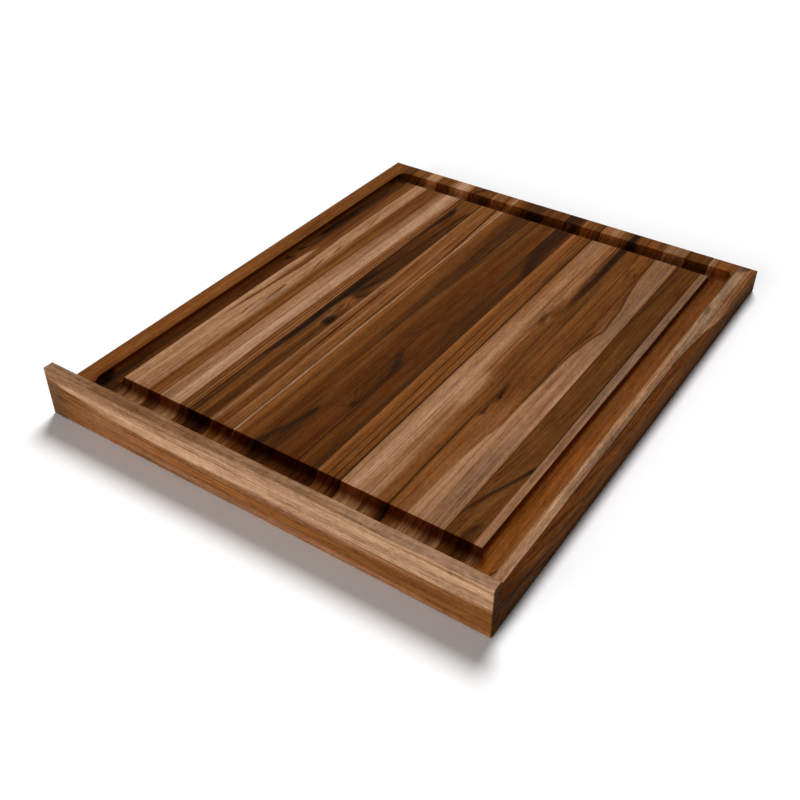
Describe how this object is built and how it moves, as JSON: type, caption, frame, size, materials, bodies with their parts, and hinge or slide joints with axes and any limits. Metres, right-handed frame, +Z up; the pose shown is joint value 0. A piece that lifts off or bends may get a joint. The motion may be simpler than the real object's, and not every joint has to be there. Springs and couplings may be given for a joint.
{
  "type": "cutting board",
  "caption": "Large edge-grain wooden cutting board with a round-bottomed juice groove and a raised front lip that hooks over a worktop edge when turned over.",
  "frame": {"origin": "middle of the footprint, at the level of the flat underside that the board rests on", "axes": "+Z up out of the cutting face, +Y along the staves away from the lip, +X to the right when standing in front of the lip"},
  "size_m": [0.508, 0.62, 0.057],
  "materials": {
    "heartwood_mid": "oiled satin",
    "heartwood_dark": "oiled satin",
    "sapwood": "oiled satin",
    "mixed_wood": "oiled satin",
    "lip_wood": "oiled satin",
    "dowel_wood": "plain matt"
  },
  "bodies": {
    "root": {"stave_01": "heartwood_mid", "stave_02": "heartwood_dark", "stave_03": "sapwood", "stave_04": "mixed_wood", "stave_05": "sapwood", "stave_06": "heartwood_dark", "stave_07": "heartwood_mid", "stave_08": "heartwood_mid", "stave_09": "heartwood_dark", "stave_10": "heartwood_dark", "stave_11": "heartwood_dark", "stave_12": "heartwood_mid", "stave_13": "sapwood", "stave_14": "mixed_wood", "stave_15": "heartwood_mid", "stave_16": "sapwood", "stave_17": "heartwood_dark", "stave_18": "mixed_wood", "stave_19": "mixed_wood", "front_lip": "lip_wood", "lip_dowels": "dowel_wood"}
  },
  "joints": []
}
